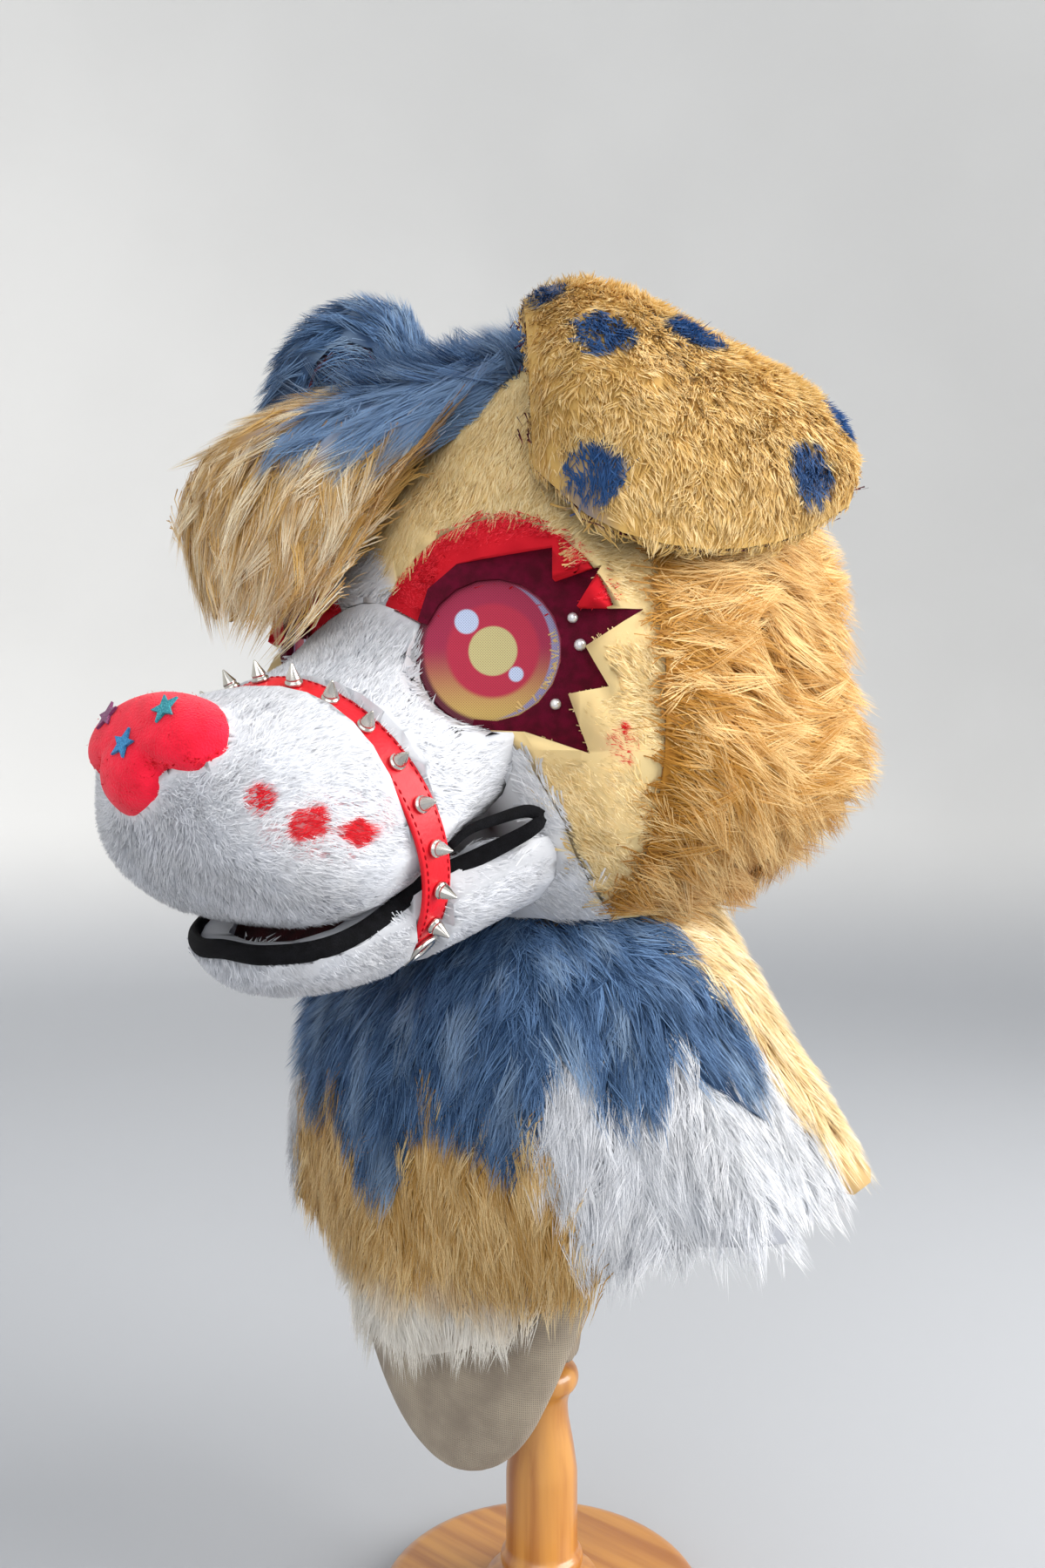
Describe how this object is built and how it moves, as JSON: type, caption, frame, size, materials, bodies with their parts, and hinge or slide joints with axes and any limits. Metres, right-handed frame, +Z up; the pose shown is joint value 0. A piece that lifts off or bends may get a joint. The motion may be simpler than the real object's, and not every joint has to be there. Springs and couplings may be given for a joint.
{
  "type": "dog costume head with bib on a display head form",
  "caption": "Dog partial costume: foam and fur head with folded ears, fringe, studded muzzle strap and a neck bib, worn by a canvas display form on a turned wooden stand",
  "frame": {"origin": "middle of the stand base's underside", "axes": "+Z up, the muzzle points along -Y, +X is the dog's own left"},
  "size_m": [0.3568, 0.4686, 0.7534],
  "materials": {
    "blue_fur": "long pile fur fabric",
    "canvas": "plain woven linen canvas",
    "cream_fur": "short pile fur fabric",
    "ear_lining": "short plush",
    "eye_mesh": "printed open mesh",
    "felt": "felt",
    "gold_fur": "long pile fur fabric",
    "leather": "coated smooth leather",
    "lid_suede": "flat suede cloth",
    "lip_cloth": "matt stretch cloth",
    "mouth_cloth": "matt fleece",
    "red_plush": "short red plush",
    "steel": "polished",
    "white_fur": "short pile fur fabric",
    "wood": "varnished pine"
  },
  "bodies": {
    "root": {"bib_back_left": "cream_fur", "bib_back_right": "cream_fur", "bib_front": "gold_fur", "bib_side_left": "white_fur", "bib_side_right": "white_fur", "bib_yoke": "blue_fur", "brow_left": "red_plush", "brow_right": "red_plush", "canvas_form": "canvas", "cheek_left": "cream_fur", "cheek_right": "cream_fur", "ear_left": "cream_fur", "ear_lining_left": "ear_lining", "ear_lining_right": "ear_lining", "ear_right": "blue_fur", "eye_left": "eye_mesh", "eye_right": "eye_mesh", "face_white": "white_fur", "fringe_blue": "blue_fur", "fringe_gold": "gold_fur", "head_back": "cream_fur", "head_side_left": "cream_fur", "head_side_right": "cream_fur", "jaw": "white_fur", "lid_left": "lid_suede", "lid_right": "lid_suede", "lip": "lip_cloth", "mouth_floor": "mouth_cloth", "muzzle": "white_fur", "muzzle_strap": "leather", "nose": "red_plush", "nose_star_1": "felt", "nose_star_2": "felt", "nose_star_3": "felt", "spike_01": "steel", "spike_02": "steel", "spike_03": "steel", "spike_04": "steel", "spike_05": "steel", "spike_06": "steel", "spike_07": "steel", "spike_08": "steel", "spike_09": "steel", "spike_10": "steel", "spike_11": "steel", "spike_12": "steel", "spike_13": "steel", "spike_14": "steel", "spike_15": "steel", "spike_16": "steel", "spike_17": "steel", "stand_base": "wood", "stand_post": "wood", "strap_buckle": "steel"}
  },
  "joints": []
}
